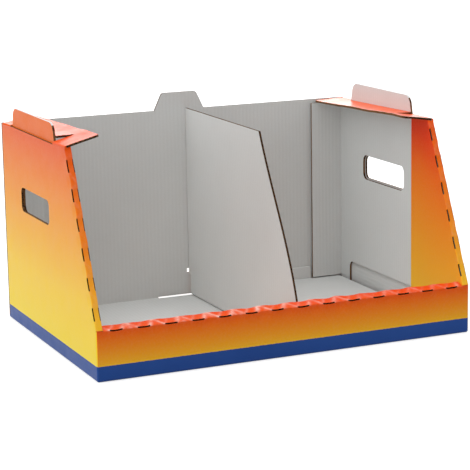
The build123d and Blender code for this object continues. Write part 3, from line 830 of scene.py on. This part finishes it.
def liner_piece(side):
    bm = board_mesh(side + "_liner", lambda c, n: c.z > H + 0.004 and n.z > 0.8)
    open_ends(bm, lambda face: UPRIGHT)
    paint(bm, liner_kind, lambda face, co: 0.92, liner_across, lambda face: UPRIGHT)
    return finish_piece(bm, side + "_liner_board", side + "_liner")


def lean(co):
    """The divider's free front edge bows: left at its top, right below its middle."""
    bow = 0.0
    for factor in BOW:
        bow = bow * co.z + factor
    share = min(max((BACK - co.y) / 0.265, 0.0), 1.0)
    fade = 1.0 - min(max((co.x - DIVIDER_X - 0.003) / 0.15, 0.0), 1.0)
    return Vector((bow * share * fade, 0.0, 0.0))


def divider_flute(face):
    c = face.calc_center_median()
    return SIDEWAYS if c.z < 2.4 * T and c.x > DIVIDER_X + 0.003 else UPRIGHT


def divider_piece():
    bm = board_mesh("divider", lambda c, n: c.y > BACK - 0.006 and 0.006 < c.z < 0.021 and c.x > 0.03)
    open_ends(bm, divider_flute)

    def everywhere(face):
        return face.material_index != WAVE

    slice_up(bm, everywhere, Vector((0, FRONT + 0.012, 0)), Vector((0, 0.012, 0)), 22)
    slice_up(bm, everywhere, Vector((0, 0, 0.010)), Vector((0, 0, 0.008)), 25)
    slice_up(bm, everywhere, Vector((0.02, 0, 0)), Vector((0.012, 0, 0)), 14)
    paint(bm, lambda face: 1, lambda face, co: 1.0, lambda face, co: co.y, divider_flute)
    for vert in bm.verts:
        vert.co += lean(vert.co)
    return finish_piece(bm, "divider_board", "divider")


tray_piece()
liner_piece("left")
liner_piece("right")
divider_piece()


# stage and light

def floor_plane():
    """Pale floor: white where it is seen or mirrored, and a mid grey for the light that it sends back."""
    n = Nodes("pale_floor")
    cloud = n.noise(n.place(), 2.0, 3.0)
    rays = n.new("ShaderNodeLightPath")
    seen = n.math("MAXIMUM", rays.outputs["Is Camera Ray"], rays.outputs["Is Glossy Ray"])
    seen = n.math("MAXIMUM", seen, rays.outputs["Is Transmission Ray"])
    grey = n.mix(n.span(cloud, 0.3, 0.7), srgb(176, 176, 176), srgb(184, 184, 184))
    n.put(n.bsdf.inputs["Base Color"], n.mix(seen, grey, srgb(206, 206, 206)))
    n.bsdf.inputs["Roughness"].default_value = 0.95
    n.bsdf.inputs["Specular IOR Level"].default_value = 0.05
    n.bsdf.inputs["Emission Color"].default_value = (1.0, 1.0, 1.0, 1.0)
    n.put(n.bsdf.inputs["Emission Strength"], n.math("MULTIPLY", seen, 0.62))
    bm = bmesh.new()
    bmesh.ops.create_grid(bm, x_segments=8, y_segments=8, size=9.0)
    # Just under the tray, so that the two never share a plane.
    bmesh.ops.translate(bm, verts=bm.verts, vec=(0.0, 0.0, -0.0003))
    mesh = bpy.data.meshes.new("floor")
    bm.to_mesh(mesh)
    bm.free()
    mesh.materials.append(n.mat)
    piece = bpy.data.objects.new("floor", mesh)
    scene.collection.objects.link(piece)


def area_light(name, place, target, size, power):
    light = bpy.data.lights.new(name, "AREA")
    light.shape = "RECTANGLE"
    light.size, light.size_y = size
    light.energy = power
    obj = bpy.data.objects.new(name, light)
    scene.collection.objects.link(obj)
    obj.location = place
    obj.rotation_mode = "QUATERNION"
    obj.rotation_quaternion = (Vector(target) - Vector(place)).to_track_quat("-Z", "Y")


def studio_world():
    """Bright to the left, the right and above, dim elsewhere, and white where it is seen or mirrored."""
    world = bpy.data.worlds.new("world")
    scene.world = world
    world.use_nodes = True
    tree = world.node_tree
    tree.nodes.clear()

    def add(kind, **settings):
        node = tree.nodes.new(kind)
        for key, value in settings.items():
            setattr(node, key, value)
        return node

    split = add("ShaderNodeSeparateXYZ")
    tree.links.new(add("ShaderNodeTexCoord").outputs["Generated"], split.inputs[0])
    total = None
    for axis, low, high, gain in ((0, 0.1, -0.8, 1.3), (0, -0.1, 0.8, 0.68), (2, 0.3, 0.95, 0.66)):
        part = add("ShaderNodeMapRange", interpolation_type="SMOOTHSTEP")
        part.inputs["From Min"].default_value = low
        part.inputs["From Max"].default_value = high
        part.inputs["To Max"].default_value = gain
        tree.links.new(split.outputs[axis], part.inputs["Value"])
        if total is None:
            total = part.outputs[0]
        else:
            both = add("ShaderNodeMath", operation="ADD")
            tree.links.new(total, both.inputs[0])
            tree.links.new(part.outputs[0], both.inputs[1])
            total = both.outputs[0]
    level = add("ShaderNodeMath", operation="ADD")
    level.inputs[1].default_value = 0.08
    tree.links.new(total, level.inputs[0])
    lit, seen = add("ShaderNodeBackground"), add("ShaderNodeBackground")
    seen.inputs["Color"].default_value = (1.0, 1.0, 1.0, 1.0)
    tree.links.new(level.outputs[0], lit.inputs["Strength"])
    rays = add("ShaderNodeLightPath")
    direct = add("ShaderNodeMath", operation="MAXIMUM")
    tree.links.new(rays.outputs["Is Camera Ray"], direct.inputs[0])
    tree.links.new(rays.outputs["Is Glossy Ray"], direct.inputs[1])
    shown = add("ShaderNodeMath", operation="MAXIMUM")
    tree.links.new(direct.outputs[0], shown.inputs[0])
    tree.links.new(rays.outputs["Is Transmission Ray"], shown.inputs[1])
    both = add("ShaderNodeMixShader")
    tree.links.new(shown.outputs[0], both.inputs[0])
    tree.links.new(lit.outputs[0], both.inputs[1])
    tree.links.new(seen.outputs[0], both.inputs[2])
    tree.links.new(both.outputs[0], add("ShaderNodeOutputWorld").inputs[0])


floor_plane()
area_light("top", (-0.2, 0.1, 2.4), (0.0, 0.0, 0.1), (2.0, 2.0), 19.0)
area_light("back", (0.9, 2.3, 0.75), (0.0, 0.0, 0.1), (1.6, 0.9), 13.0)
studio_world()
scene.view_settings.view_transform = "Standard"
